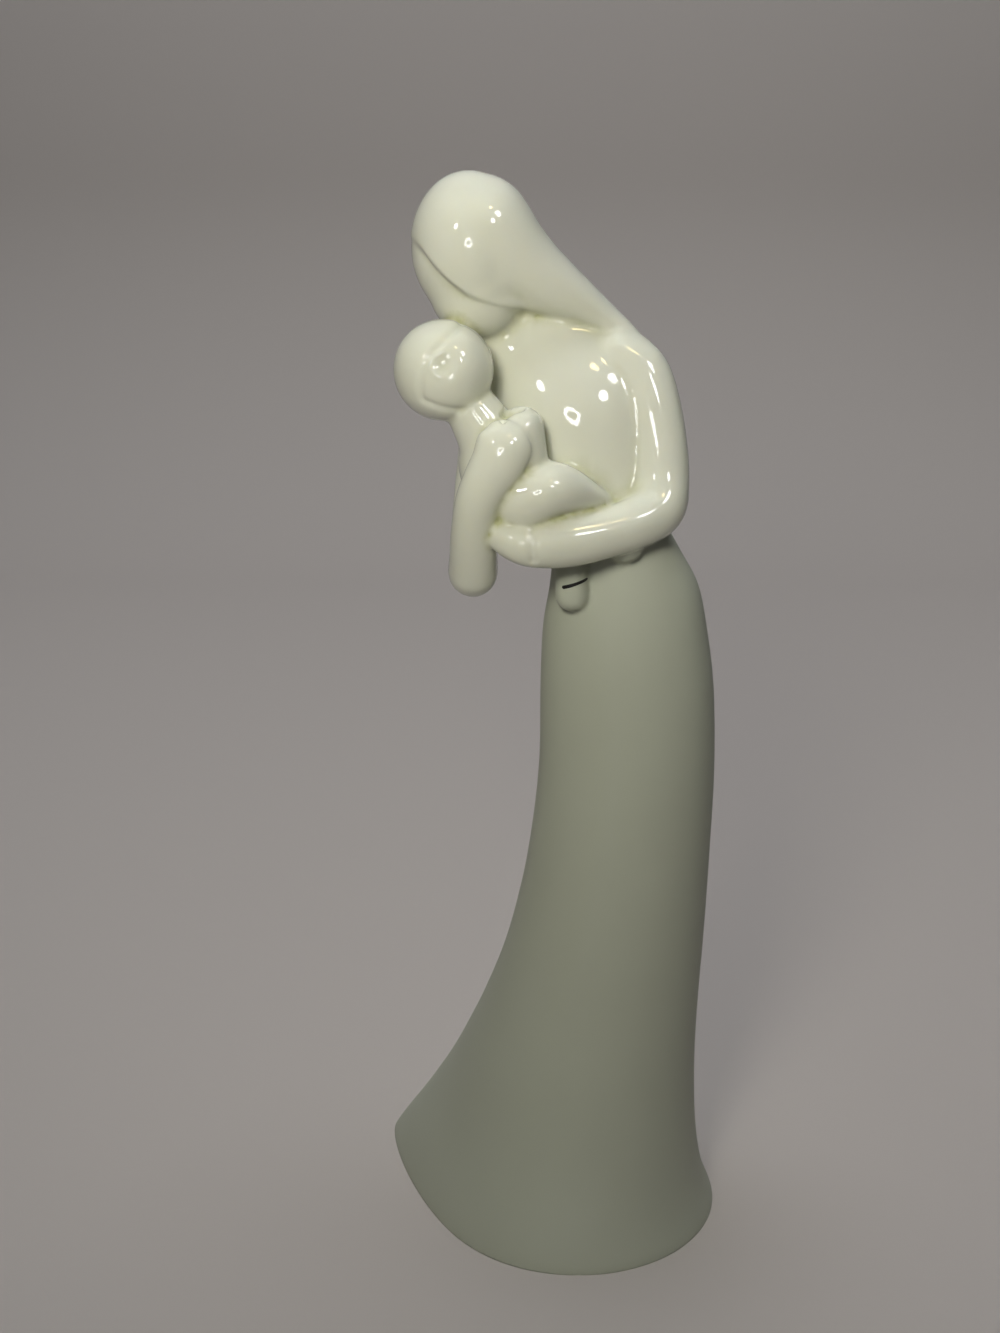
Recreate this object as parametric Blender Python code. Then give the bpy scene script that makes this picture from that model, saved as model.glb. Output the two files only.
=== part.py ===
"""Mother and child figure: a slip-cast porcelain figure, one solid, standing on the flat underside of its skirt.

The frame: metres, +Z up, -Y towards the side that she faces, and the origin on the table, in the
middle of the hem's rounded part. The pose and the carving are set out in 300ths of the figure's height.
"""

import math

import bmesh
import bpy
import numpy as np
from mathutils import Matrix, Vector

HEIGHT = 0.300
UNIT = HEIGHT / 300

# How finely the solid is worked, and how far its creases are softened at each stage.
VOXEL = 1.0
BODY_SOFTENING = 9
HEAD_SOFTENING = 5
CHILD_SOFTENING = 5
TRIANGLES = 9400
STEPS_BETWEEN = 5
RING_POINTS = 32
DOME_RINGS = 5

GLAZE_IVORY = (0.80, 0.80, 0.64, 1)

# Skirt: height, middle in x, half width, half depth.
SKIRT = (
    (-5, 0.0, 42.3, 45.8),
    (0, 0.0, 42.3, 45.8),
    (10, -0.2, 38.9, 42.0),
    (25, 1.2, 35.2, 36.5),
    (45, 3.4, 32.2, 31.5),
    (65, 6.4, 29.7, 28.0),
    (86, 9.4, 27.8, 25.5),
    (111, 12.2, 25.9, 23.0),
    (136, 13.9, 24.8, 21.5),
    (160, 13.6, 24.2, 20.0),
    (177, 12.7, 22.7, 18.5),
    (189, 12.3, 20.4, 16.0),
    (198, 10.2, 17.6, 13.5),
    (208, 7.2, 14.5, 12.0),
    (214, 5.0, 11.0, 9.0),
)
# Train: the skirt's corner, drawn out behind her right side. Height, share of its full reach, roundness.
TRAIN_REACH = (-49.0, 39.0)
TRAIN = (
    (-5, 1.0, 6.5),
    (0, 1.0, 6.5),
    (20, 0.745, 8.0),
    (38, 0.535, 9.5),
    (55, 0.37, 11.0),
    (70, 0.24, 12.0),
    (86, 0.12, 11.0),
    (100, 0.04, 9.0),
    (114, 0.0, 7.0),
    (214, 0.0, 4.0),
)
TRAIN_CREASE = 0.2

# Torso: height, middle in x and y, half width, half depth.
TORSO = (
    (192, 8.5, 0.0, 12.0, 10.5),
    (200, 8.0, 0.0, 15.0, 12.5),
    (212, 5.5, 0.0, 17.5, 13.0),
    (226, 1.0, 0.5, 20.5, 13.5),
    (238, -1.5, 1.5, 21.5, 13.5),
    (247, -3.0, 2.5, 20.5, 11.5),
    (253, -4.5, 4.0, 17.5, 9.5),
    (258, -6.0, 5.5, 13.5, 7.5),
    (262, -8.0, 6.0, 8.0, 6.0),
)
NECK = (
    (-8.0, 4.5, 244, 15.0, 9.0),
    (-14.5, 4.5, 250, 14.0, 8.4),
    (-18.5, 4.5, 256, 12.2, 7.6),
    (-21.0, 4.5, 262, 10.0, 7.4),
    (-25.0, 4.5, 272, 8.0, 7.5),
)
SHOULDER = ((-2, 7, 256, 6.5, 7.5), (6.5, 6.5, 254.5, 6.8, 8.0), (13.5, 3.5, 250.5, 7.2, 8.0))

# Limbs: x, y, z, half width across the limb, half depth.
LEFT_ARM = (
    (10.0, 3, 252.0, 7.0, 8.0),
    (14.8, 2, 247.0, 8.9, 8.6),
    (18.2, -1, 238.5, 8.6, 8.2),
    (20.4, -4, 228, 8.2, 7.9),
    (21.2, -7, 219, 7.9, 7.7),
    (20.2, -11, 212.6, 7.5, 7.5),
    (13.5, -16, 209.6, 6.9, 7.2),
    (4.4, -20, 207.6, 6.8, 6.8),
    (-3.0, -23, 206.5, 6.9, 6.2),
    (-9.0, -25, 205.9, 6.4, 5.6),
    (-13.6, -26.3, 205.9, 5.9, 5.0),
    (-17.6, -26.6, 206.8, 5.4, 4.6),
    (-21.6, -25.6, 208.2, 4.4, 3.8),
)
RIGHT_ARM = (
    (-17, 7, 246, 8.5, 8.5),
    (-24.5, 6, 236, 7.4, 7.4),
    (-27.5, 2, 222, 6.4, 6.5),
    (-29.0, -4, 204, 6.6, 6.6),
    (-29.2, -12, 195.0, 7.0, 7.0),
    (-29.2, -17, 200.0, 6.7, 6.8),
)
RIGHT_FOREARM = (
    (-29.2, -15.5, 196.5, 6.5, 6.5),
    (-28.9, -21.0, 207, 6.3, 6.2),
    (-28.0, -25.5, 217.0, 5.9, 5.2),
    (-25.6, -26.6, 223.0, 6.3, 5.0),
    (-22.6, -26.6, 228.2, 7.0, 5.0),
    (-20.8, -25.8, 232.6, 7.4, 5.0),
    (-20.2, -24.4, 234.4, 6.0, 4.4),
)

CHILD_HEAD = ((-36.7, -12.5, 250.0), (13.3, 13.3, 13.3))
CHIN_REST = ((-31.0, -3.6, 260.4), (5.6, 6.4, 4.2))
CHILD_BODY = (
    (-29.5, -13.5, 240, 7.0, 7.5),
    (-24.6, -14, 232, 8.8, 8.2),
    (-23.0, -14.5, 225, 10.0, 8.6),
    (-20.5, -16, 218, 10.0, 8.8),
)
CHILD_SHOULDER = ((-16.3, -17.5, 235.4, 5.9, 7.5), (-16.0, -18, 227.5, 6.6, 8.5))
CHILD_SEAT = (
    (-16.0, -21.5, 217.2, 8.8, 8.6),
    (-10.5, -21, 219.8, 7.8, 9.0),
    (-4.5, -18, 219.2, 6.4, 8.0),
    (1.5, -14.5, 217.3, 3.8, 6.0),
    (5, -12, 216.0, 2.4, 4.0),
)
CHILD_FEET = (
    ((-3.2, -11.5, 205, 4.6, 4.2), (-2.9, -12.8, 197, 4.6, 4.2), (-2.5, -13.8, 189.0, 4.6, 4.0)),
    ((10.5, -13.0, 212, 4.8, 4.4), (11.6, -14.2, 205.4, 4.6, 4.2)),
)

HEAD = ((-30.2, 3.0, 280.4), (15.7, 16.2, 19.8))
JAW = ((-27.8, 2.3, 271.0), (13.6, 12.4, 12.8))
HAIR = (
    (-27.6, 3.5, 285.0, 14.5, 16.0),
    (-22.0, 4.0, 279.2, 13.4, 15.4),
    (-14.5, 4.8, 273.8, 10.6, 13.6),
    (-7.5, 5.6, 269.6, 8.3, 11.8),
    (-0.5, 6.2, 265.6, 6.0, 9.8),
    (6.0, 6.2, 261.4, 4.3, 7.4),
    (12.0, 5.5, 256.5, 3.6, 6.0),
)

# What is pressed into the face of the work, seen from the front, in x and z.
FACE = (
    (-43.3, 281.2),
    (-39.7, 276.4),
    (-35.0, 272.0),
    (-29.8, 268.3),
    (-20.7, 265.9),
    (-16.0, 264.0),
    (-20.0, 256.5),
    (-30.0, 255.0),
    (-34.4, 261.9),
    (-36.5, 263.3),
    (-39.9, 269.0),
)
FACE_DEPTH = 1.5
FACE_EDGE = 1.6
CAP_LINE = (
    (-32.0, 262.5),
    (-35.5, 260.0),
    (-39.9, 255.5),
    (-42.2, 250.3),
    (-42.3, 244.2),
    (-39.5, 242.4),
    (-35.6, 241.1),
    (-30.5, 240.3),
)
EAR = ((-36.5, 253.2), 3.4)
SHOULDER_SLIT = ((-21.2, 239.3), (-18.9, 240.9), (-16.0, 241.7))
WRIST_LEFT = ((-13.7, 210.5), (-13.4, 203.0))


def clear_scene():
    for obj in list(bpy.data.objects):
        bpy.data.objects.remove(obj)


def material(name, colour, roughness):
    made = bpy.data.materials.new(name)
    made.use_nodes = True
    shader = made.node_tree.nodes["Principled BSDF"]
    shader.inputs["Base Color"].default_value = colour
    shader.inputs["Roughness"].default_value = roughness
    shader.inputs["Metallic"].default_value = 0.0
    return made


def smooth_rows(rows, steps=STEPS_BETWEEN):
    """The rows with others between them, on a Catmull-Rom curve through all of their numbers."""
    rows = [np.array(row, float) for row in rows]
    found = []
    for i in range(len(rows) - 1):
        before, here = rows[max(i - 1, 0)], rows[i]
        there, after = rows[i + 1], rows[min(i + 2, len(rows) - 1)]
        for step in range(steps):
            t = step / steps
            bend = (2 * before - 5 * here + 4 * there - after) * t**2
            twist = (3 * here - before - 3 * there + after) * t**3
            found.append(0.5 * (2 * here + (there - before) * t + bend + twist))
    return found + [rows[-1]]


def loft(name, rings):
    """A closed solid through rings of points, with a flat face at each end."""
    shape = bmesh.new()
    loops = [[shape.verts.new(Vector(point) * UNIT) for point in ring_points] for ring_points in rings]
    for low, high in zip(loops, loops[1:]):
        for i in range(len(low)):
            j = (i + 1) % len(low)
            shape.faces.new((low[i], low[j], high[j], high[i]))
    shape.faces.new(list(reversed(loops[0])))
    shape.faces.new(loops[-1])
    bmesh.ops.recalc_face_normals(shape, faces=shape.faces)
    return as_object(name, shape)


def as_object(name, shape):
    mesh = bpy.data.meshes.new(name)
    shape.to_mesh(mesh)
    shape.free()
    obj = bpy.data.objects.new(name, mesh)
    bpy.context.scene.collection.objects.link(obj)
    return obj


def ring(centre, side, out, half_side, half_out):
    turns = [2 * math.pi * i / RING_POINTS for i in range(RING_POINTS)]
    return [centre + side * half_side * math.cos(a) + out * half_out * math.sin(a) for a in turns]


def limb(name, stations):
    """A tapering limb with rounded ends. Each station is x, y, z, half width across it and half depth."""
    rows = smooth_rows(stations)
    centres = [Vector(row[:3]) for row in rows]
    frames = []
    for i, row in enumerate(rows):
        along = (centres[min(i + 1, len(rows) - 1)] - centres[max(i - 1, 0)]).normalized()
        side = along.cross(Vector((0, 1, 0))).normalized()
        frames.append((centres[i], side, side.cross(along), float(row[3]), float(row[4]), along))
    rings = dome(frames[0], -1)[::-1]
    rings += [ring(*frame[:5]) for frame in frames]
    rings += dome(frames[-1], 1)
    return loft(name, rings)


def dome(frame, way):
    """Rings that round off the end of a limb."""
    centre, side, out, half_side, half_out, along = frame
    rings = []
    for k in range(1, DOME_RINGS + 1):
        a = math.radians(88) * k / DOME_RINGS
        ahead = centre + along * way * min(half_side, half_out) * math.sin(a)
        rings.append(ring(ahead, side, out, half_side * math.cos(a), half_out * math.cos(a)))
    return rings


def ball(name, centre, radii):
    """An ellipsoid."""
    bpy.ops.mesh.primitive_uv_sphere_add(segments=48, ring_count=32, radius=1)
    obj = bpy.context.object
    obj.name = name
    obj.data.transform(Matrix.Diagonal((*[r * UNIT for r in radii], 1)))
    obj.data.transform(Matrix.Translation(Vector(centre) * UNIT))
    return obj


def between(rows, z):
    """A row of the table at height z, on a straight line between its neighbours."""
    for low, high in zip(rows, rows[1:]):
        if low[0] <= z <= high[0]:
            t = (z - low[0]) / (high[0] - low[0])
            return [a + (b - a) * t for a, b in zip(low, high)]
    return list(rows[-1])


def skirt():
    """Rings that are an oval drawn out softly to the train's corner: the wider of the two, towards each way."""
    trains = smooth_rows(TRAIN, 8)
    turns = np.arange(128) * 2 * math.pi / 128
    rings = []
    for z, middle, half_width, half_depth in smooth_rows(SKIRT):
        _, share, roundness = between(trains, z)
        corner = (TRAIN_REACH[0] * share + middle * (1 - share), TRAIN_REACH[1] * share)

        def reach(a):
            oval = middle * np.cos(a) + np.hypot(half_width * np.cos(a), half_depth * np.sin(a))
            tip = corner[0] * np.cos(a) + corner[1] * np.sin(a) + roundness
            return np.logaddexp(oval * TRAIN_CREASE, tip * TRAIN_CREASE) / TRAIN_CREASE

        far = reach(turns)
        swing = (reach(turns + 1e-4) - reach(turns - 1e-4)) / 2e-4
        x = far * np.cos(turns) - swing * np.sin(turns)
        y = far * np.sin(turns) + swing * np.cos(turns)
        rings.append([Vector((x[i], y[i], z)) for i in range(128)])
    return loft("skirt", rings)


def torso():
    rings = []
    for z, x, y, half_width, half_depth in smooth_rows(TORSO):
        middle = Vector((x, y, z))
        rings.append(ring(middle, Vector((1, 0, 0)), Vector((0, 1, 0)), float(half_width), float(half_depth)))
    return loft("torso", rings)


def worked_mesh(obj):
    """The mesh of an object with its modifiers on it."""
    bpy.context.view_layer.update()
    graph = bpy.context.evaluated_depsgraph_get()
    return bpy.data.meshes.new_from_object(obj.evaluated_get(graph))


def keep_worked(obj):
    mesh = worked_mesh(obj)
    obj.modifiers.clear()
    obj.data = mesh


def fuse(name, objects, rounds):
    """One skin around several shapes, with the creases between them softened."""
    shape = bmesh.new()
    for obj in objects:
        shape.from_mesh(worked_mesh(obj))
        bpy.data.objects.remove(obj)
    figure = as_object(name, shape)
    skin = figure.modifiers.new("one_skin", "REMESH")
    skin.mode = "VOXEL"
    skin.voxel_size = VOXEL * UNIT
    soften = figure.modifiers.new("soften", "SMOOTH")
    soften.factor = 0.5
    soften.iterations = rounds
    keep_worked(figure)
    return figure


def ease(value):
    """From 0 to 1 with no corners."""
    value = np.clip(value, 0, 1)
    return value * value * (3 - 2 * value)


def nearest(x, z, line, closed=False):
    """How far each point is from a line through points, seen from the front."""
    points = list(line) + ([line[0]] if closed else [])
    best = np.full(len(x), 1e9)
    for (ax, az), (bx, bz) in zip(points, points[1:]):
        t = ((x - ax) * (bx - ax) + (z - az) * (bz - az)) / ((bx - ax) ** 2 + (bz - az) ** 2)
        t = np.clip(t, 0, 1)
        best = np.minimum(best, np.hypot(x - ax - (bx - ax) * t, z - az - (bz - az) * t))
    return best


def inside(x, z, line):
    """How far each point is inside a closed outline, below 0 outside it."""
    within = np.zeros(len(x), bool)
    for (ax, az), (bx, bz) in zip(line, list(line[1:]) + [line[0]]):
        crosses = (az > z) != (bz > z)
        within ^= crosses & (x < ax + (bx - ax) * (z - az) / (bz - az if bz != az else 1e-9))
    return np.where(within, 1, -1) * nearest(x, z, line, closed=True)


def groove(x, z, line, width, depth):
    return depth * np.exp(-((nearest(x, z, line) / (width / 2)) ** 2))


def carve(figure):
    """Presses the face, the child's cap and ear, the small slit and the wrist into the front."""
    mesh = figure.data
    count = len(mesh.vertices)
    points = np.empty(count * 3)
    normals = np.empty(count * 3)
    mesh.vertices.foreach_get("co", points)
    mesh.vertices.foreach_get("normal", normals)
    points = points.reshape(-1, 3)
    normals = normals.reshape(-1, 3)
    x, y, z = (points / UNIT).T
    seen = ease((0.3 - normals[:, 1]) / 0.4)
    face = [tuple(point) for point in smooth_rows(FACE + FACE[:1], 4)[:-1]]
    face = FACE_DEPTH * ease(inside(x, z, face) / FACE_EDGE + 0.5) * (y < 6)
    cap = tuple(CAP_LINE) + ((-20.0, 240.0), (-20.0, 263.0))
    child = 0.45 * ease(inside(x, z, cap) / 1.6 + 0.5) * (z < 262) * (y < -16)
    ear_away = np.hypot(x - EAR[0][0], z - EAR[0][1])
    child += 0.8 * np.exp(-((ear_away / EAR[1]) ** 2)) * (y < -18)
    child += groove(x, z, SHOULDER_SLIT, 1.5, 1.8) * (y < -10)
    wrist = groove(x, z, WRIST_LEFT, 2.0, 0.5) * (y < -20)
    depth = (face + child + wrist) * seen
    points -= normals * (depth * UNIT)[:, None]
    mesh.vertices.foreach_set("co", points.ravel())
    mesh.update()


def flatten_underside(figure):
    """Cuts the skirt off flat at the table."""
    shape = bmesh.new()
    shape.from_mesh(figure.data)
    everything = shape.verts[:] + shape.edges[:] + shape.faces[:]
    bmesh.ops.bisect_plane(
        shape, geom=everything, plane_co=(0, 0, 0), plane_no=(0, 0, 1), clear_inner=True, dist=1e-6
    )
    rim = [edge for edge in shape.edges if edge.is_boundary]
    bmesh.ops.edgeloop_fill(shape, edges=rim)
    bmesh.ops.triangulate(shape, faces=shape.faces[:])
    bmesh.ops.recalc_face_normals(shape, faces=shape.faces[:])
    shape.to_mesh(figure.data)
    shape.free()


def thin_out(figure):
    """Fewer triangles, kept where the surface bends most."""
    thin = figure.modifiers.new("thin_out", "DECIMATE")
    thin.ratio = TRIANGLES / len(figure.data.polygons)
    keep_worked(figure)
    for vertex in figure.data.vertices:
        if vertex.co.z < 0.1 * UNIT:
            vertex.co.z = 0


def mother_and_child():
    body = [
        skirt(),
        torso(),
        limb("neck", NECK),
        limb("shoulder", SHOULDER),
        limb("left_arm", LEFT_ARM),
        limb("right_arm", RIGHT_ARM),
    ]
    figure = fuse("body", body, BODY_SOFTENING)
    head = [ball("head", *HEAD), ball("jaw", *JAW), limb("hair", HAIR)]
    figure = fuse("body_and_head", [figure] + head, HEAD_SOFTENING)
    child = [
        ball("child_head", *CHILD_HEAD),
        ball("chin_rest", *CHIN_REST),
        limb("child_body", CHILD_BODY),
        limb("child_shoulder", CHILD_SHOULDER),
        limb("child_seat", CHILD_SEAT),
        limb("right_forearm", RIGHT_FOREARM),
    ]
    child += [limb("child_foot", foot) for foot in CHILD_FEET]
    figure = fuse("mother_and_child", [figure] + child, CHILD_SOFTENING)
    carve(figure)
    flatten_underside(figure)
    thin_out(figure)
    figure.data.materials.append(material("ivory_glaze", GLAZE_IVORY, 0.12))
    figure.data.shade_smooth()
    return figure


clear_scene()
mother_and_child()
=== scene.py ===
import math

import bmesh
import bpy
import numpy as np
from mathutils import Matrix, Vector
from mathutils.bvhtree import BVHTree


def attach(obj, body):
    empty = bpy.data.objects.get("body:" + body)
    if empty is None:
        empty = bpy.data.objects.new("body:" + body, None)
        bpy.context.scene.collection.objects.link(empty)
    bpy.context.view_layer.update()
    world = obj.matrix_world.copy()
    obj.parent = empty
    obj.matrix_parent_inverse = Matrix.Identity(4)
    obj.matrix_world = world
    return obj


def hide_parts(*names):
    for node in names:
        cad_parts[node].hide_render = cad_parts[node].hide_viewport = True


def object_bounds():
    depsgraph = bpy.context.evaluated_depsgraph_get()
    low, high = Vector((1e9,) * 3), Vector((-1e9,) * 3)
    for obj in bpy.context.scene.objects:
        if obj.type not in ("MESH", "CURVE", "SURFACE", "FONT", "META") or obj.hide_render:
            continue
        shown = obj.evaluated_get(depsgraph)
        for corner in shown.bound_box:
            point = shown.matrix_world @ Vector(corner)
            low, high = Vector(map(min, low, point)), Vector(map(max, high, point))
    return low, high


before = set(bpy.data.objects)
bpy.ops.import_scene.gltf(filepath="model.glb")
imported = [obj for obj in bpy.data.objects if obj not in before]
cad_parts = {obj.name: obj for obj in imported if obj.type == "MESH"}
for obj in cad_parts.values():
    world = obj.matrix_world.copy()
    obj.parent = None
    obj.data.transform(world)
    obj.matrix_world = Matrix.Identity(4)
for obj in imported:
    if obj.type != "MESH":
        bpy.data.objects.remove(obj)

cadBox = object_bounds()
print("frame loaded")

unit = 0.300 / 300      # the pose is set out in 300ths of the figure's height


# sRGB hex to linear, with alpha
def linear(hexColor):
    out = []
    for i in (0, 2, 4):
        c = int(hexColor[i:i + 2], 16) / 255
        out.append(c / 12.92 if c <= 0.04045 else ((c + 0.055) / 1.055) ** 2.4)
    return (*out, 1.0)


def addObject(name, data):
    obj = bpy.data.objects.new(name, data)
    bpy.context.scene.collection.objects.link(obj)
    return obj


# the photograph's place and lens, looking along +Y and a little down
view = {"place": (-0.022, -0.5361, 0.3251), "down": 16.6, "lens": 54, "sensor": 36, "clip": 0.01}

camera = addObject("camera", bpy.data.cameras.new("camera"))
bpy.context.scene.camera = camera
camera.data.sensor_width = view["sensor"]
camera.data.lens = view["lens"]
camera.data.clip_start = view["clip"]
camera.location = view["place"]
camera.rotation_euler = (math.radians(90 - view["down"]), 0, 0)
print("camera placed")


# the figure as a whole
figure = {
    "voxel": 0.62,              # how finely the clay is worked
    "bodySoftening": 3.0,       # softening rounds times voxel squared, so a finer voxel softens as far
    "headSoftening": 1.7,
    "childSoftening": 1.7,
    "triangles": 170000,
    "glazeLine": 205.5,         # height of the waist, where the ivory glaze ends
    "skirtOnly": 185,           # under this height there is nothing but skirt
    "trainSoftness": 0.2,       # how softly the skirt's oval runs into the train
}

# skirt: height, middle in x, half width, half depth
skirtRows = (
    (-5, 0.0, 42.3, 45.8), (0, 0.0, 42.3, 45.8), (10, -0.2, 38.9, 42.0), (25, 1.2, 35.2, 36.5),
    (45, 3.4, 32.2, 31.5), (65, 6.4, 29.7, 28.0), (86, 9.4, 27.8, 25.5), (111, 12.2, 25.9, 23.0),
    (136, 13.9, 24.8, 21.5), (160, 13.6, 24.2, 20.0), (177, 12.7, 22.7, 18.5), (189, 12.3, 20.4, 16.0),
    (198, 10.2, 17.6, 13.5), (208, 7.2, 14.5, 12.0), (214, 5.0, 11.0, 9.0),
)
# train: height, share of its full reach, roundness of its corner
trainReach = (-49.0, 39.0)
trainRows = (
    (-5, 1.0, 6.5), (0, 1.0, 6.5), (20, 0.745, 8.0), (38, 0.535, 9.5), (55, 0.37, 11.0),
    (70, 0.24, 12.0), (86, 0.12, 11.0), (100, 0.04, 9.0), (114, 0.0, 7.0), (214, 0.0, 4.0),
)
# torso: height, middle in x and y, half width, half depth
torsoRows = (
    (192, 8.5, 0.0, 12.0, 10.5), (200, 8.0, 0.0, 15.0, 12.5), (212, 5.5, 0.0, 17.5, 13.0),
    (226, 1.0, 0.5, 20.5, 13.5), (238, -1.5, 1.5, 21.5, 13.5), (247, -3.0, 2.5, 20.5, 11.5),
    (253, -4.5, 4.0, 17.5, 9.5), (258, -6.0, 5.5, 13.5, 7.5), (262, -8.0, 6.0, 8.0, 6.0),
)
# limbs: x, y, z, half width across the limb, half depth
limbs = {
    "neck": (
        (-8, 4.5, 244, 15, 9), (-14.5, 5.0, 250, 14, 8.2), (-18.5, 6.2, 256, 12.2, 7.2),
        (-21, 7.2, 262, 10, 6.8), (-25, 7.2, 272, 8, 7),
    ),
    "shoulder": ((-2, 7, 256, 6.5, 7.5), (6.5, 6.5, 254.5, 6.8, 8), (13.5, 3.5, 250.5, 7.2, 8)),
    "leftArm": (
        (10, 3, 252, 7, 8), (14.8, 2, 247, 8.9, 8.6), (18.2, -1, 238.5, 8.6, 8.2),
        (20.4, -4, 228, 8.2, 7.9), (21.2, -7, 219, 7.9, 7.7), (20.2, -11, 212.6, 7.5, 7.5),
        (13.5, -16, 209.6, 6.9, 7.2), (4.4, -20, 207.6, 6.8, 6.8), (-3, -23, 206.5, 6.9, 6.2),
        (-9, -25, 205.9, 6.4, 5.6), (-13.6, -26.3, 205.9, 5.9, 5), (-17.6, -26.6, 206.8, 5.4, 4.6),
        (-21.6, -25.6, 208.2, 4.4, 3.8),
    ),
    "rightArm": (
        (-17, 7, 246, 8.5, 8.5), (-24.5, 6, 236, 7.4, 7.4), (-27.5, 2, 222, 6.4, 6.5),
        (-29, -4, 204, 6.6, 6.6), (-29.2, -12, 195, 7, 7), (-29.2, -17, 200, 6.7, 6.8),
    ),
    "hair": (
        (-27.6, 3.5, 285, 14.5, 16), (-22, 4, 279.2, 13.4, 15.4), (-14.5, 4.8, 273.8, 10.6, 13.6),
        (-7.5, 5.6, 269.6, 8.3, 11.8), (-0.5, 6.2, 265.6, 6, 9.8), (6, 6.2, 261.4, 4.3, 7.4),
        (12, 5.5, 256.5, 3.6, 6),
    ),
    "rightForearm": (
        (-29.2, -15.5, 196.5, 6.5, 6.5), (-28.9, -21, 207, 6.3, 6.2), (-28, -25.5, 217, 5.9, 5.2),
        (-25.6, -26.6, 223, 6.3, 5), (-22.6, -26.6, 228.2, 7, 5), (-20.8, -25.8, 232.6, 7.4, 5),
        (-20.2, -24.4, 234.4, 6, 4.4),
    ),
    "childBody": (
        (-29.5, -13.5, 240, 7, 7.5), (-24.6, -14, 232, 8.8, 8.2), (-23, -14.5, 225, 10, 8.6),
        (-20.5, -16, 218, 10, 8.8),
    ),
    "childShoulder": ((-16.3, -17.5, 235.4, 5.9, 7.5), (-16, -18, 227.5, 6.6, 8.5)),
    "childSeat": (
        (-16, -21.5, 217.2, 8.8, 8.6), (-10.5, -21, 219.8, 7.8, 9), (-4.5, -18, 219.2, 6.4, 8),
        (1.5, -14.5, 217.3, 3.8, 6), (5, -12, 216, 2.4, 4),
    ),
    "nearFoot": ((-3.2, -11.5, 205, 4.6, 4.2), (-2.9, -12.8, 197, 4.6, 4.2), (-2.5, -13.8, 189, 4.6, 4)),
    "farFoot": ((10.5, -13, 210, 5.0, 4.4), (11.6, -14.8, 203.2, 5.0, 4.4)),
}
# ellipsoids: centre, radii
balls = {
    "head": ((-30.2, 3.0, 280.4), (15.7, 16.2, 19.8)),
    "jaw": ((-27.6, 1.6, 269.9), (13.8, 12.7, 13.4)),
    "childHead": ((-36.7, -12.5, 250.0), (13.3, 13.3, 13.3)),
    "chinRest": ((-29.6, -1.4, 262.6), (6.4, 6.0, 5.2)),
}
# the order in which the clay goes on, and how far each stage is softened
stages = (
    (("skirt", "torso", "neck", "shoulder", "leftArm", "rightArm"), "bodySoftening"),
    (("head", "jaw", "hair"), "headSoftening"),
    (
        (
            "childHead", "chinRest", "childBody", "childShoulder", "childSeat", "rightForearm", "nearFoot",
            "farFoot",
        ),
        "childSoftening",
    ),
)


# the rows with others between them, on a smooth curve through all of their numbers
def smoothRows(rows, steps=6):
    rows = [np.array(row, float) for row in rows]
    found = []
    for i in range(len(rows) - 1):
        before, here = rows[max(i - 1, 0)], rows[i]
        there, after = rows[i + 1], rows[min(i + 2, len(rows) - 1)]
        for step in range(steps):
            t = step / steps
            bend = (2 * before - 5 * here + 4 * there - after) * t**2
            twist = (3 * here - before - 3 * there + after) * t**3
            found.append(0.5 * (2 * here + (there - before) * t + bend + twist))
    return found + [rows[-1]]


# a closed skin through rings of points, with a flat face at each end
def loftShape(rings):
    shape = bmesh.new()
    loops = [[shape.verts.new(Vector(p) * unit) for p in points] for points in rings]
    for low, high in zip(loops, loops[1:]):
        for i in range(len(low)):
            j = (i + 1) % len(low)
            shape.faces.new((low[i], low[j], high[j], high[i]))
    shape.faces.new(list(reversed(loops[0])))
    shape.faces.new(loops[-1])
    bmesh.ops.recalc_face_normals(shape, faces=shape.faces)
    return shape


def ring(centre, side, out, halfSide, halfOut, count=48):
    turns = [2 * math.pi * i / count for i in range(count)]
    return [centre + side * halfSide * math.cos(a) + out * halfOut * math.sin(a) for a in turns]


# rings that round off the end of a limb, nearly to its pole
def domeRings(place, way, count=8):
    centre, side, out, halfSide, halfOut, along = place
    rings = []
    for k in range(1, count + 1):
        a = math.radians(88) * k / count
        ahead = centre + along * way * min(halfSide, halfOut) * math.sin(a)
        rings.append(ring(ahead, side, out, halfSide * math.cos(a), halfOut * math.cos(a)))
    return rings


# a tapering limb with rounded ends
def limbShape(stations):
    rows = smoothRows(stations)
    centres = [Vector(row[:3]) for row in rows]
    places = []
    for i, row in enumerate(rows):
        along = (centres[min(i + 1, len(rows) - 1)] - centres[max(i - 1, 0)]).normalized()
        side = along.cross(Vector((0, 1, 0))).normalized()
        places.append((centres[i], side, side.cross(along), float(row[3]), float(row[4]), along))
    rings = domeRings(places[0], -1)[::-1]
    rings += [ring(*place[:5]) for place in places]
    rings += domeRings(places[-1], 1)
    return loftShape(rings)


def ballShape(centre, radii):
    shape = bmesh.new()
    place = Matrix.Translation(Vector(centre) * unit) @ Matrix.Diagonal((*[r * unit for r in radii], 1))
    bmesh.ops.create_uvsphere(shape, u_segments=64, v_segments=40, radius=1, matrix=place)
    return shape


# a row of the table at height z, on a straight line between its neighbours
def rowAt(rows, z):
    for low, high in zip(rows, rows[1:]):
        if low[0] <= z <= high[0]:
            t = (z - low[0]) / (high[0] - low[0])
            return [a + (b - a) * t for a, b in zip(low, high)]
    return list(rows[-1])


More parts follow.
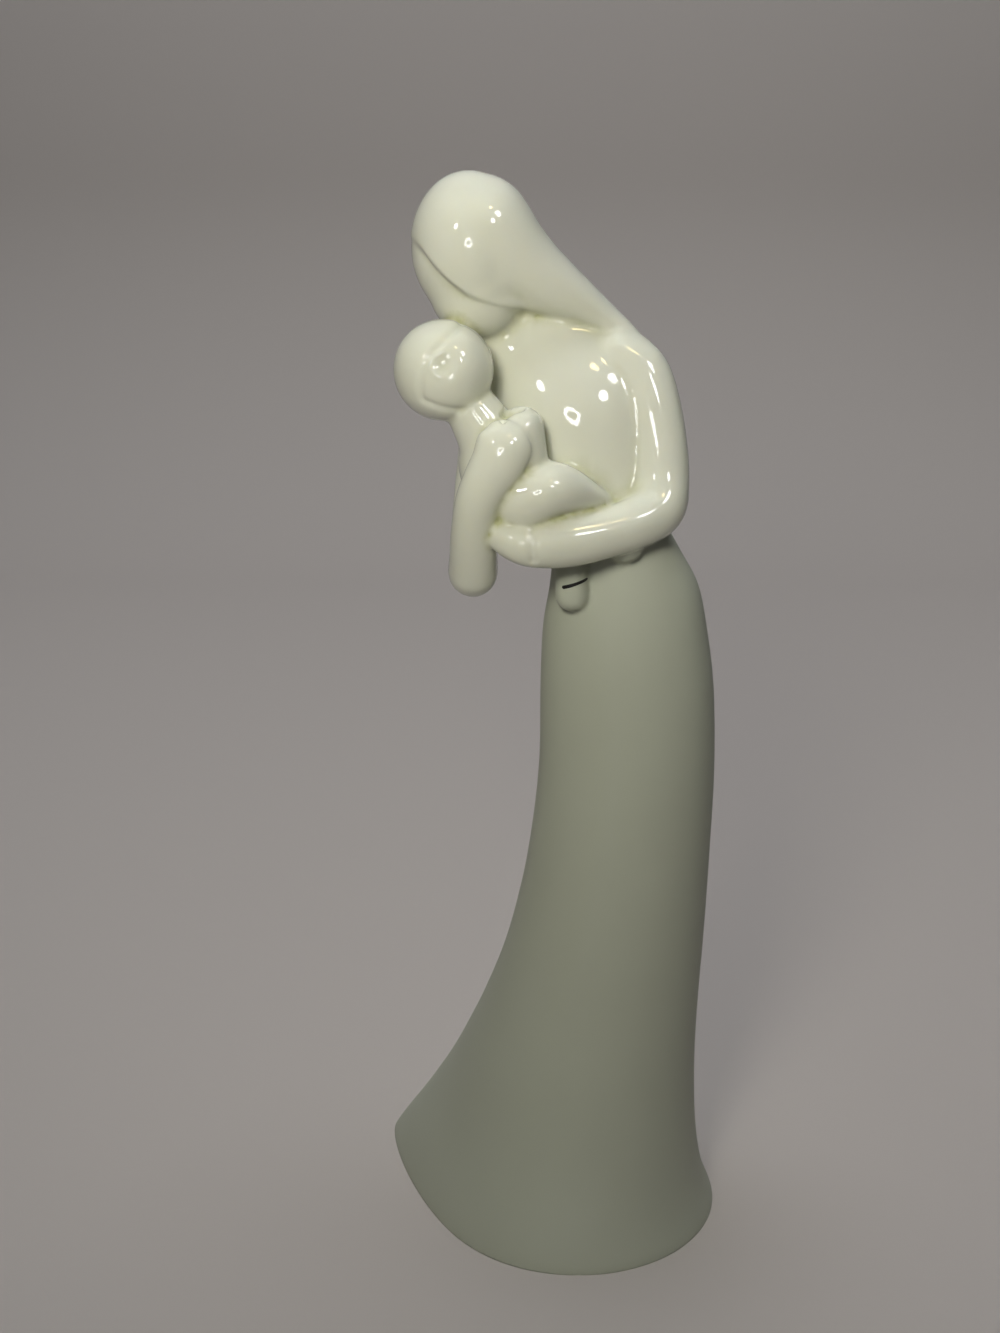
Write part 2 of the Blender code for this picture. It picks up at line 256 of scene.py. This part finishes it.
# rings that are an oval drawn out softly to the train's corner
def skirtShape(count=192, steps=8, nudge=1e-4):
    trains = smoothRows(trainRows, steps)
    turns = np.arange(count) * 2 * math.pi / count
    softness = figure["trainSoftness"]
    rings = []
    for z, middle, halfWidth, halfDepth in smoothRows(skirtRows, steps):
        _, share, roundness = rowAt(trains, z)
        corner = (trainReach[0] * share + middle * (1 - share), trainReach[1] * share)

        def reach(a):
            oval = middle * np.cos(a) + np.hypot(halfWidth * np.cos(a), halfDepth * np.sin(a))
            tip = corner[0] * np.cos(a) + corner[1] * np.sin(a) + roundness
            return np.logaddexp(oval * softness, tip * softness) / softness

        far = reach(turns)
        swing = (reach(turns + nudge) - reach(turns - nudge)) / (2 * nudge)
        x = far * np.cos(turns) - swing * np.sin(turns)
        y = far * np.sin(turns) + swing * np.cos(turns)
        rings.append([Vector((x[i], y[i], z)) for i in range(count)])
    return loftShape(rings)


def torsoShape():
    side, out = Vector((1, 0, 0)), Vector((0, 1, 0))
    rings = []
    for z, x, y, halfWidth, halfDepth in smoothRows(torsoRows):
        rings.append(ring(Vector((x, y, z)), side, out, float(halfWidth), float(halfDepth)))
    return loftShape(rings)


def formShape(name):
    if name == "skirt":
        return skirtShape()
    if name == "torso":
        return torsoShape()
    return limbShape(limbs[name]) if name in limbs else ballShape(*balls[name])


def addForms(target, names):
    for name in names:
        shape = formShape(name)
        piece = bpy.data.meshes.new(name)
        shape.to_mesh(piece)
        shape.free()
        target.from_mesh(piece)
        bpy.data.meshes.remove(piece)


# applies an object's modifiers to its mesh
def keepWorked(obj):
    bpy.context.view_layer.update()
    graph = bpy.context.evaluated_depsgraph_get()
    mesh = bpy.data.meshes.new_from_object(obj.evaluated_get(graph))
    obj.modifiers.clear()
    obj.data = mesh


# adds forms to the figure, makes one skin of it and softens the creases
def fuse(obj, names, softening):
    gathered = bmesh.new()
    gathered.from_mesh(obj.data)
    addForms(gathered, names)
    gathered.to_mesh(obj.data)
    gathered.free()
    skin = obj.modifiers.new("oneSkin", "REMESH")
    skin.mode = "VOXEL"
    skin.voxel_size = figure["voxel"] * unit
    soften = obj.modifiers.new("soften", "SMOOTH")
    soften.factor = 0.5
    soften.iterations = max(1, round(3 * softening / figure["voxel"] ** 2))
    keepWorked(obj)


# what is pressed into the front: lines and places in x and z, grooves as width and depth,
# and each fade as where it starts and over what length
carving = {
    "hairLine": (
        (-48.5, 284.5), (-43.8, 281.2), (-39.7, 276.4), (-35.0, 272.0), (-29.8, 268.6), (-21.5, 266.0),
        (-13.0, 263.6),
    ),
    "hairLedge": 2.4,           # width of the step at the hair's edge
    "faceDepth": 1.7,           # how far the face lies under the hair's edge
    "faceSwell": 6.5,           # how soon it swells out again
    "faceCorners": ((-13.0, 235.0), (-60.0, 235.0), (-60.0, 290.0)),    # these close the hair line
    "faceBack": 6,
    "faceLow": 250,
    "faceOverChild": (-13.6, 264),      # in front of this y the face is only above this z
    "jawFade": (-13.5, 4),
    "templeFade": (-46.5, 5),
    "templeShare": 0.2,         # what is left of the depth at the temple
    "cheek": (-21.0, 268.2),    # pressed in a little, so that the hair passes over it without a bulge
    "cheekSize": (5.0, 3.0),
    "cheekDepth": 1.2,
    "capLine": (
        (-32.0, 262.5), (-35.5, 260.0), (-39.9, 255.5), (-42.2, 250.3), (-42.3, 244.2), (-39.5, 242.4),
        (-35.6, 241.1), (-30.5, 240.3),
    ),
    "capCorners": ((-20.0, 240.0), (-20.0, 263.0)),     # these close the cap line
    "capLedge": 1.6,
    "capDepth": 0.3,
    "capGroove": (1.7, 0.42),
    "childFade": (1.4, 0.8),    # over the skin of the child's head
    "childBackFade": (-8, 3),
    "ear": (-36.5, 253.2),
    "earRadius": 3.2,
    "earDepth": 1.15,
    "earRim": (0.9, 0.4),       # width and height of the rim round the ear's back
    "earRimFade": (1.5, 2),
    "shoulderSlit": ((-21.2, 239.3), (-18.9, 240.9), (-16.0, 241.7)),
    "slitGroove": (1.5, 1.9),
    "slitBack": -10,
    "leftWrist": ((-13.7, 210.5), (-13.4, 203.0)),
    "wristGroove": (2.0, 0.5),
    "wristBack": -20,
}


# from 0 to 1 with no corners
def ease(value):
    value = np.clip(value, 0, 1)
    return value * value * (3 - 2 * value)


# how far each point is from a line through points, seen from the front
def nearest(x, z, line, closed=False):
    points = list(line) + ([line[0]] if closed else [])
    best = np.full(len(x), 1e9)
    for (ax, az), (bx, bz) in zip(points, points[1:]):
        t = ((x - ax) * (bx - ax) + (z - az) * (bz - az)) / ((bx - ax) ** 2 + (bz - az) ** 2)
        t = np.clip(t, 0, 1)
        best = np.minimum(best, np.hypot(x - ax - (bx - ax) * t, z - az - (bz - az) * t))
    return best


# how far each point is inside a closed outline, below 0 outside it
def insideBy(x, z, line):
    within = np.zeros(len(x), bool)
    for (ax, az), (bx, bz) in zip(line, list(line[1:]) + [line[0]]):
        crosses = (az > z) != (bz > z)
        within ^= crosses & (x < ax + (bx - ax) * (z - az) / (bz - az if bz != az else 1e-9))
    return np.where(within, 1, -1) * nearest(x, z, line, closed=True)


def groove(x, z, line, width, depth):
    return depth * np.exp(-((nearest(x, z, line) / (width / 2)) ** 2))


def vertexArrays(mesh):
    count = len(mesh.vertices)
    points = np.empty(count * 3)
    normals = np.empty(count * 3)
    mesh.vertices.foreach_get("co", points)
    mesh.vertices.foreach_get("normal", normals)
    return points.reshape(-1, 3), normals.reshape(-1, 3)


# how deep the face lies, ending softly at the temple and behind the jaw
def faceDepth(x, y, z):
    hair = [tuple(p) for p in smoothRows(carving["hairLine"], 8)]
    below = insideBy(x, z, hair + list(carving["faceCorners"])) > 0
    under = np.where(below, 1, -1) * nearest(x, z, hair)
    step = under / carving["hairLedge"]
    swell = np.exp(-((np.maximum(under, 0) / carving["faceSwell"]) ** 2))
    childY, childZ = carving["faceOverChild"]
    onFace = (y < carving["faceBack"]) & (z > carving["faceLow"]) & ((y > childY) | (z > childZ))
    (jaw, jawLength), (temple, templeLength) = carving["jawFade"], carving["templeFade"]
    share = carving["templeShare"]
    ends = ease((jaw - x) / jawLength) * (share + (1 - share) * ease((x - temple) / templeLength))
    depth = carving["faceDepth"] * ease(step + 0.5) * swell * ends * onFace
    (cheekX, cheekZ), (wide, high) = carving["cheek"], carving["cheekSize"]
    cheek = np.exp(-(((x - cheekX) / wide) ** 2) - ((z - cheekZ) / high) ** 2)
    return depth + carving["cheekDepth"] * cheek * ease(0.5 - step) * onFace


# how deep the child's hair line and ear lie
def childDepth(x, y, z):
    cap = [tuple(p) for p in smoothRows(carving["capLine"], 6)]
    outline = cap + list(carving["capCorners"])
    middle, radii = balls["childHead"]
    away = np.linalg.norm(np.stack((x, y, z), axis=1) - np.array(middle), axis=1)
    (over, overLength), (back, backLength) = carving["childFade"], carving["childBackFade"]
    onChild = ease((radii[0] + over - away) / overLength) * ease((back - y) / backLength)
    depth = carving["capDepth"] * ease(insideBy(x, z, outline) / carving["capLedge"] + 0.5)
    depth += groove(x, z, cap, *carving["capGroove"])
    (earX, earZ), radius = carving["ear"], carving["earRadius"]
    fromEar = np.hypot(x - earX, z - earZ)
    depth += carving["earDepth"] * np.exp(-((fromEar / radius) ** 2))
    (rimWidth, rimHeight), (beyond, rimLength) = carving["earRim"], carving["earRimFade"]
    rim = np.exp(-(((fromEar - radius) / rimWidth) ** 2)) * ease((earX + beyond - x) / rimLength)
    return (depth - rimHeight * rim) * onChild


# presses the face, the child's hair line and ear, the slit and the wrist into what faces the front
def carve(mesh):
    points, normals = vertexArrays(mesh)
    x, y, z = (points / unit).T
    seen = ease((0.3 - normals[:, 1]) / 0.4)        # 1 where it faces forward, 0 where it faces back
    depth = faceDepth(x, y, z) + childDepth(x, y, z)
    slit = smoothRows(carving["shoulderSlit"], 6)
    depth += groove(x, z, slit, *carving["slitGroove"]) * (y < carving["slitBack"])
    depth += groove(x, z, carving["leftWrist"], *carving["wristGroove"]) * (y < carving["wristBack"])
    points -= normals * (depth * seen * unit)[:, None]
    mesh.vertices.foreach_set("co", points.ravel())
    mesh.update()


# cuts the skirt off flat at the table
def flattenUnderside(mesh):
    shape = bmesh.new()
    shape.from_mesh(mesh)
    everything = shape.verts[:] + shape.edges[:] + shape.faces[:]
    bmesh.ops.bisect_plane(
        shape, geom=everything, plane_co=(0, 0, 0), plane_no=(0, 0, 1), clear_inner=True, dist=1e-6
    )
    bmesh.ops.edgeloop_fill(shape, edges=[edge for edge in shape.edges if edge.is_boundary])
    bmesh.ops.triangulate(shape, faces=shape.faces[:])
    bmesh.ops.recalc_face_normals(shape, faces=shape.faces[:])
    shape.to_mesh(mesh)
    shape.free()


# fewer triangles, kept where the surface bends most, and the underside flat again
def thinOut(obj):
    thin = obj.modifiers.new("thinOut", "DECIMATE")
    thin.ratio = min(1, figure["triangles"] / len(obj.data.polygons))
    keepWorked(obj)
    low = 0.1 * unit
    for vertex in obj.data.vertices:
        if vertex.co.z < low:
            vertex.co.z = 0


# holds the last tenths of a millimetre inside the solid's own box
def keepInBox(mesh):
    points, _ = vertexArrays(mesh)
    points = np.clip(points, np.array(cadBox[0]), np.array(cadBox[1]))
    mesh.vertices.foreach_set("co", points.ravel())
    mesh.update()


def treeOf(names):
    joined = bmesh.new()
    addForms(joined, names)
    tree = BVHTree.FromBMesh(joined)
    joined.free()
    return tree


# the skirt and the feet get the second material, up to the waist and not on the arms
def markSkirt(mesh):
    arms = treeOf(("leftArm", "rightArm", "rightForearm"))
    below = treeOf(("skirt", "torso", "nearFoot", "farFoot"))
    waist = figure["glazeLine"] * unit
    clear = figure["skirtOnly"] * unit
    for face in mesh.polygons:
        centre = face.center
        if centre.z < waist:
            matte = centre.z < clear or arms.find_nearest(centre)[3] > below.find_nearest(centre)[3]
            face.material_index = 1 if matte else 0


# adds a node, sets it up and links it
def addNode(tree, kind, settings=None, inputs=None, links=None):
    node = tree.nodes.new(kind)
    for key, value in (settings or {}).items():
        setattr(node, key, value)
    for key, value in (inputs or {}).items():
        node.inputs[key].default_value = value
    for key, source in (links or {}).items():
        tree.links.new(source, node.inputs[key])
    return node


def newMaterial(name):
    made = bpy.data.materials.new(name)
    made.use_nodes = True
    return made, made.node_tree, made.node_tree.nodes["Principled BSDF"]


# pattern sizes and heights are in mm
ivoryGlaze = {
    "color": "D9DAC8",
    "pooledAndShaded": "B5B68C",         # where the glaze lies thick, darker still as painted shade in the creases
    "poolShadeStrength": 5.0,
    "poolShadeLeast": 0.05,
    "poolShadeLimit": 0.6,           # no crease counts as sharper than this
    "poolShadeRounds": 14,           # how far the pools and their painted shade spread from the creases
    "cloudSize": 22.2,
    "cloudRange": (0.35, 0.75),
    "cloudTint": 0.12,
    "rippleSize": 6.25,
    "rippleHeight": 0.25,
    "rippleStrength": 0.18,
    "roughness": 0.05,
    "ior": 1.52,
    "bodyRoughness": 0.6,       # the porcelain under the glaze
    "bodyIor": 1.15,
    "glow": 0.12,
    "glowReach": (4.0, 3.5, 2.5),
}


# stores how much glaze has run into each place, and with it how much shade is painted there: 1 in a crease,
# 0 on open curves and ridges
def paintPooling(mesh):
    points, normals = vertexArrays(mesh)
    ends = np.empty(len(mesh.edges) * 2, int)
    mesh.edges.foreach_get("vertices", ends)
    a, b = ends.reshape(-1, 2).T
    count = len(points)
    degree = np.bincount(a, minlength=count) + np.bincount(b, minlength=count)

    def around(values):
        total = np.bincount(a, values[b], minlength=count) + np.bincount(b, values[a], minlength=count)
        return total / np.maximum(degree, 1)

    length = np.linalg.norm(points[a] - points[b], axis=1)
    mean = (np.bincount(a, length, minlength=count) + np.bincount(b, length, minlength=count)) / degree
    lifted = sum((around(points[:, k]) - points[:, k]) * normals[:, k] for k in range(3))
    limit = ivoryGlaze["poolShadeLimit"]
    hollow = np.clip(lifted / (mean**2) * unit, -limit, limit)      # about 1 over the crease's radius in mm
    for _ in range(ivoryGlaze["poolShadeRounds"]):
        hollow = 0.5 * hollow + 0.5 * around(hollow)
    amount = np.clip(hollow * ivoryGlaze["poolShadeStrength"] - ivoryGlaze["poolShadeLeast"], 0, 1)
    pooledAndShaded = mesh.attributes.new("pooling", "FLOAT", "POINT")
    pooledAndShaded.data.foreach_set("value", amount.astype(np.float32))


def makeIvoryGlaze():
    # clear glaze fired over white porcelain: a wet, sharp shine on soft ivory
    made, tree, shader = newMaterial("ivoryGlaze")
    pooledAndShaded = addNode(tree, "ShaderNodeAttribute", {"attribute_name": "pooling"})
    place = addNode(tree, "ShaderNodeTexCoord")
    cloud = addNode(tree, "ShaderNodeTexNoise",
                    inputs={"Scale": 1000 / ivoryGlaze["cloudSize"], "Detail": 3},
                    links={"Vector": place.outputs["Object"]})
    thin, thick = ivoryGlaze["cloudRange"]
    tint = addNode(tree, "ShaderNodeMapRange",
                   inputs={1: thin, 2: thick, 3: 0.0, 4: ivoryGlaze["cloudTint"]},
                   links={0: cloud.outputs["Fac"]})
    amount = addNode(tree, "ShaderNodeMath", {"operation": "ADD", "use_clamp": True},
                     links={0: pooledAndShaded.outputs["Fac"], 1: tint.outputs[0]})
    # mixes toward the darker pooled colour: thick glaze and painted crease shade, with random clouds of
    # tint
    mix = addNode(tree, "ShaderNodeMix", {"data_type": "RGBA"}, links={0: amount.outputs[0]})
    mix.inputs[6].default_value = linear(ivoryGlaze["color"])
    mix.inputs[7].default_value = linear(ivoryGlaze["pooledAndShaded"])
    tree.links.new(mix.outputs[2], shader.inputs["Base Color"])
    ripple = addNode(tree, "ShaderNodeTexNoise",
                     inputs={"Scale": 1000 / ivoryGlaze["rippleSize"], "Detail": 2},
                     links={"Vector": place.outputs["Object"]})
    lift = {"Strength": ivoryGlaze["rippleStrength"], "Distance": ivoryGlaze["rippleHeight"] / 1000}
    bump = addNode(tree, "ShaderNodeBump", inputs=lift, links={"Height": ripple.outputs["Fac"]})
    tree.links.new(bump.outputs[0], shader.inputs["Coat Normal"])
    shader.inputs["Roughness"].default_value = ivoryGlaze["bodyRoughness"]
    shader.inputs["IOR"].default_value = ivoryGlaze["bodyIor"]
    shader.inputs["Coat Weight"].default_value = 1.0
    shader.inputs["Coat Roughness"].default_value = ivoryGlaze["roughness"]
    shader.inputs["Coat IOR"].default_value = ivoryGlaze["ior"]
    shader.inputs["Subsurface Weight"].default_value = ivoryGlaze["glow"]
    shader.inputs["Subsurface Radius"].default_value = [reach / 1000 for reach in ivoryGlaze["glowReach"]]
    shader.inputs["Subsurface Scale"].default_value = 1.0
    return made


sageBisque = {
    "color": "B5B9A6",
    "worn": "AAAD9A",
    "cloudSize": 45.5,
    "grainSize": 0.4,           # the real grain is far finer: this is as coarse as it needs to show
    "grainHeight": 0.1,
    "grainStrength": 0.12,
    "roughness": 0.55,
    "ior": 1.45,
}


def makeSageBisque():
    # unglazed tinted porcelain, sanded smooth: a soft, even, dry surface
    made, tree, shader = newMaterial("sageBisque")
    place = addNode(tree, "ShaderNodeTexCoord")
    cloud = addNode(tree, "ShaderNodeTexNoise",
                    inputs={"Scale": 1000 / sageBisque["cloudSize"], "Detail": 4},
                    links={"Vector": place.outputs["Object"]})
    mix = addNode(tree, "ShaderNodeMix", {"data_type": "RGBA"}, links={0: cloud.outputs["Fac"]})
    mix.inputs[6].default_value = linear(sageBisque["color"])
    mix.inputs[7].default_value = linear(sageBisque["worn"])
    tree.links.new(mix.outputs[2], shader.inputs["Base Color"])
    grain = addNode(tree, "ShaderNodeTexNoise",
                    inputs={"Scale": 1000 / sageBisque["grainSize"], "Detail": 2},
                    links={"Vector": place.outputs["Object"]})
    lift = {"Strength": sageBisque["grainStrength"], "Distance": sageBisque["grainHeight"] / 1000}
    bump = addNode(tree, "ShaderNodeBump", inputs=lift, links={"Height": grain.outputs["Fac"]})
    tree.links.new(bump.outputs[0], shader.inputs["Normal"])
    shader.inputs["Roughness"].default_value = sageBisque["roughness"]
    shader.inputs["IOR"].default_value = sageBisque["ior"]
    return made


statue = addObject("motherAndChild", bpy.data.meshes.new("motherAndChild"))
for names, softening in stages:
    fuse(statue, names, figure[softening])
    print("worked", names[0], len(statue.data.polygons))
carve(statue.data)
flattenUnderside(statue.data)
thinOut(statue)
print("figure carved", len(statue.data.polygons))
keepInBox(statue.data)
paintPooling(statue.data)
statue.data.materials.clear()
statue.data.materials.append(makeIvoryGlaze())
statue.data.materials.append(makeSageBisque())
markSkirt(statue.data)
statue.data.shade_smooth()
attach(statue, "root")
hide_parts("mother_and_child")
print("figure finished")


# the painted dash on the near foot
dash = {
    "start": (-5.4, 192.3),     # x and z
    "end": (1.6, 194.4),
    "width": 1.0,
    "taper": 0.25,              # how much narrower the stroke ends
    "thickness": 0.05,
    "steps": 28,
    "castFrom": -60,            # the y in front of the foot from which the stroke is laid on
    "color": "14130F",
    "roughness": 0.35,
}


# rows of points across the stroke, with round ends
def dashRows():
    start, end = Vector(dash["start"]), Vector(dash["end"])
    along = (end - start).normalized()
    across = Vector((-along.y, along.x))
    half = dash["width"] / 2
    rows = []
    for i in range(dash["steps"] + 1):
        t = i / dash["steps"]
        run = (end - start).length * t
        fromEnd = min(run, (end - start).length - run)
        roundness = math.sqrt(max(0.02, 1 - max(0, 1 - fromEnd / half) ** 2))
        wide = half * roundness * (1 - dash["taper"] * t)
        rows.append([start + along * run + across * wide * k / 3 for k in range(-3, 4)])
    return rows


# lays the stroke on the foot, its underside as far in the glaze as its top stands out
def makeDash():
    bpy.context.view_layer.update()
    skin = BVHTree.FromObject(statue, bpy.context.evaluated_depsgraph_get())
    shape = bmesh.new()
    top, under = [], []
    for row in dashRows():
        for target, lift in ((top, dash["thickness"]), (under, -dash["thickness"])):
            points = []
            for p in row:
                ahead = Vector((p.x * unit, dash["castFrom"] * unit, p.y * unit))
                hit = skin.ray_cast(ahead, Vector((0, 1, 0)))
                points.append(shape.verts.new(hit[0] + hit[1] * lift * unit))
            target.append(points)
    steps = dash["steps"]
    for grid in (top, under):
        for i in range(steps):
            for k in range(6):
                shape.faces.new((grid[i][k], grid[i][k + 1], grid[i + 1][k + 1], grid[i + 1][k]))
    rim = [(i, 0) for i in range(steps)] + [(steps, k) for k in range(6)]
    rim += [(i, 6) for i in range(steps, 0, -1)] + [(0, k) for k in range(6, 0, -1)]
    for (i, k), (j, m) in zip(rim, rim[1:] + rim[:1]):
        shape.faces.new((top[i][k], top[j][m], under[j][m], under[i][k]))
    bmesh.ops.recalc_face_normals(shape, faces=shape.faces)
    mesh = bpy.data.meshes.new("paintedDash")
    shape.to_mesh(mesh)
    shape.free()
    obj = addObject("paintedDash", mesh)
    paint, _, shader = newMaterial("blackCeramicPaint")     # fired-on black line, thin and slightly shiny
    shader.inputs["Base Color"].default_value = linear(dash["color"])
    shader.inputs["Roughness"].default_value = dash["roughness"]
    mesh.materials.append(paint)
    mesh.shade_smooth()
    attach(obj, "root")


makeDash()
print("dash painted")


# floor, wall and light, in metres and watts
studio = {
    "floor": "B9B2AA",
    "roughness": 0.6,
    "front": -1.6,
    "wall": 0.75,               # where the floor starts to curve up into the wall
    "bend": 0.25,
    "bendSteps": 16,
    "height": 2.2,
    "halfWidth": 2.5,
    "worldColor": "E8ECF2",
    "worldStrength": 0.05,
    "ring": (-0.03, -0.54, 0.345),
    "ringRadius": 0.055,
    "ringLights": 10,
}


def makeStage():
    floorPaint, _, shader = newMaterial("paleFloor")      # smooth matte paint: even and without a shine
    shader.inputs["Base Color"].default_value = linear(studio["floor"])
    shader.inputs["Roughness"].default_value = studio["roughness"]
    wall, bend = studio["wall"], studio["bend"]
    profile = [(studio["front"], 0.0), (wall, 0.0)]
    for i in range(1, studio["bendSteps"] + 1):
        a = math.radians(90) * i / studio["bendSteps"]
        profile.append((wall + bend * math.sin(a), bend * (1 - math.cos(a))))
    profile.append((wall + bend, studio["height"]))
    shape = bmesh.new()
    edges = (-studio["halfWidth"], studio["halfWidth"])
    rows = [[shape.verts.new((x, y, z)) for x in edges] for y, z in profile]
    for low, high in zip(rows, rows[1:]):
        shape.faces.new((low[0], low[1], high[1], high[0]))
    mesh = bpy.data.meshes.new("floor")
    shape.to_mesh(mesh)
    shape.free()
    obj = addObject("floor", mesh)
    mesh.materials.append(floorPaint)
    mesh.shade_smooth()


# a light that shades makes no mirrored disk in the glaze, and one that glints is seen in the glaze alone
def addLight(name, place, aim, size, power, color, use, spread=180):
    light = bpy.data.lights.new(name, "AREA")
    light.shape = "DISK"
    light.spread = math.radians(spread)
    light.size = size
    light.energy = power
    light.color = linear(color)[:3]
    obj = addObject(name, light)
    obj.location = place
    obj.visible_glossy = use == "glint"
    obj.visible_diffuse = use == "shade"
    obj.rotation_euler = (Vector(aim) - Vector(place)).to_track_quat("-Z", "Y").to_euler()


makeStage()
addLight("soft", (-0.10, -0.40, 0.42), (-0.01, -0.01, 0.27), 0.12, 0.36, "FFFCF4", "shade", spread=90)
addLight("wallWash", (0, 0.25, 1.5), (0, 0.9, 0.2), 1.0, 13.0, "F1F5FF", "shade")
addLight("floorWash", (-0.5, -0.9, 1.4), (0, -0.1, 0), 0.8, 0.35, "FFF6EA", "shade")
ringX, ringY, ringZ = studio["ring"]
for i in range(studio["ringLights"]):
    turn = 2 * math.pi * i / studio["ringLights"]
    across, up = studio["ringRadius"] * math.cos(turn), studio["ringRadius"] * math.sin(turn)
    place = (ringX + across, ringY, ringZ + up)
    addLight("ring" + str(i), place, (-0.02, 0, 0.26), 0.034, 0.05, "FFFFFF", "glint")
heart = (0, 0, 0.24)        # what the other glints aim at
addLight("high", (0.24, -0.40, 0.50), heart, 0.08, 0.34, "FFFFFF", "glint")
addLight("ceiling", (0.20, -0.28, 0.72), heart, 0.07, 0.26, "FFE2A0", "glint")
addLight("window", (0.36, -0.30, 0.64), heart, 0.12, 0.60, "FFFFFF", "glint")
addLight("lamp", (-0.26, -0.44, 0.52), heart, 0.07, 0.26, "FFFFFF", "glint")
world = bpy.data.worlds.new("studio")
bpy.context.scene.world = world
world.use_nodes = True
world.node_tree.nodes["Background"].inputs["Color"].default_value = linear(studio["worldColor"])
world.node_tree.nodes["Background"].inputs["Strength"].default_value = studio["worldStrength"]
bpy.context.scene.view_settings.view_transform = "Standard"
print("stage set")
